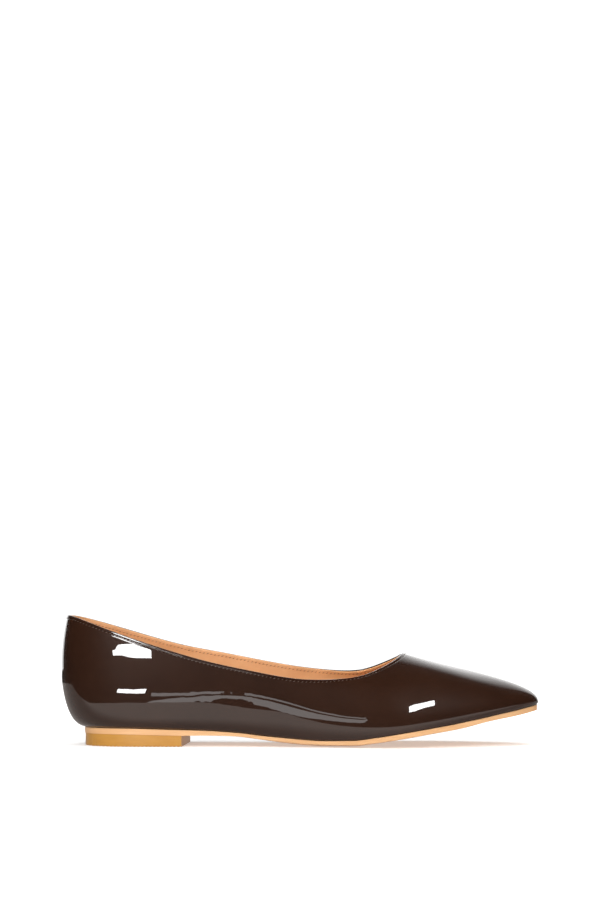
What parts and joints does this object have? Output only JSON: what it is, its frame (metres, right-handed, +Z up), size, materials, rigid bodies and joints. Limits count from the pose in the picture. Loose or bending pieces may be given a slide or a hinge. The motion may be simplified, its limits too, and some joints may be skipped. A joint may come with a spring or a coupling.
{
  "type": "pointed toe flat shoe",
  "caption": "Right shoe: a low pointed flat with a hollow patent upper, an insole, a thin outsole with toe spring and a low heel block.",
  "frame": {"origin": "centre of the shoe's box, on the floor that the sole stands on", "axes": "+X to the toe, +Y to the inner (medial) side of the right foot, +Z up"},
  "size_m": [0.2576, 0.0793, 0.0702],
  "materials": {
    "patent_leather": "very glossy dark brown patent leather with a clear coat",
    "insole_leather": "smooth matt tan lining leather",
    "tan_sole": "light tan satin sole with a smooth edge",
    "ochre_heel": "ochre satin moulded block"
  },
  "bodies": {
    "root": {"upper": "patent_leather", "insole": "insole_leather", "outsole": "tan_sole", "heel": "ochre_heel"}
  },
  "joints": []
}
